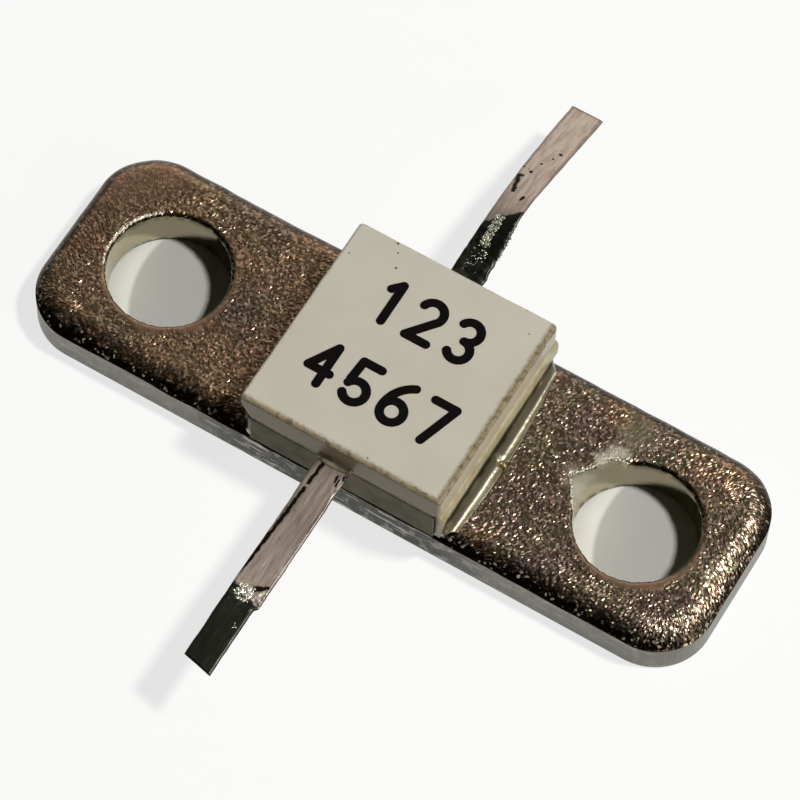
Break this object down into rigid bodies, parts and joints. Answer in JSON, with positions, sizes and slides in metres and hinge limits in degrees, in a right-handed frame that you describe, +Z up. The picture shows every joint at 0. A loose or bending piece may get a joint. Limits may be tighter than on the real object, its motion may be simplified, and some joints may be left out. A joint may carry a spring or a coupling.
{
  "type": "flange mount rf attenuator",
  "caption": "Flange mount RF attenuator: a lidded ceramic chip soldered to a nickel-plated plate, with screw holes at its ends and flat tape leads on its long sides.",
  "frame": {"origin": "centre of the flange's underside, midway between its screw holes", "axes": "+Z up through the ceramic cover, +X along the flange towards the hole with the torn rim, +Y towards the rear lead"},
  "size_m": [0.02, 0.0194, 0.0034],
  "materials": {
    "nickel_plated_copper": "satin, grained nickel plate over copper",
    "solder": "bright reflowed solder with flux film",
    "fired_metal": "matte fired film",
    "chip_ceramic": "as fired",
    "resistor_film": "matte fired film",
    "overglaze": "glassy",
    "lead_tape": "satin rolled tape, tinned and darkened in patches",
    "adhesive": "cured resin",
    "lid_ceramic": "smooth as fired",
    "ink": "matte printed ink"
  },
  "bodies": {
    "root": {"mounting_flange": "nickel_plated_copper", "base_solder": "solder", "back_metallization": "fired_metal", "ceramic_substrate": "chip_ceramic", "left_edge_metallization": "fired_metal", "right_edge_metallization": "fired_metal", "left_ground_pad": "fired_metal", "right_ground_pad": "fired_metal", "front_pad": "fired_metal", "rear_pad": "fired_metal", "series_resistor": "resistor_film", "front_shunt_resistor_left": "resistor_film", "front_shunt_resistor_right": "resistor_film", "rear_shunt_resistor_left": "resistor_film", "rear_shunt_resistor_right": "resistor_film", "resistor_glaze": "overglaze", "front_lead_solder": "solder", "rear_lead_solder": "solder", "front_lead": "lead_tape", "rear_lead": "lead_tape", "cover_adhesive": "adhesive", "ceramic_cover": "lid_ceramic", "marking": "ink"}
  },
  "joints": []
}
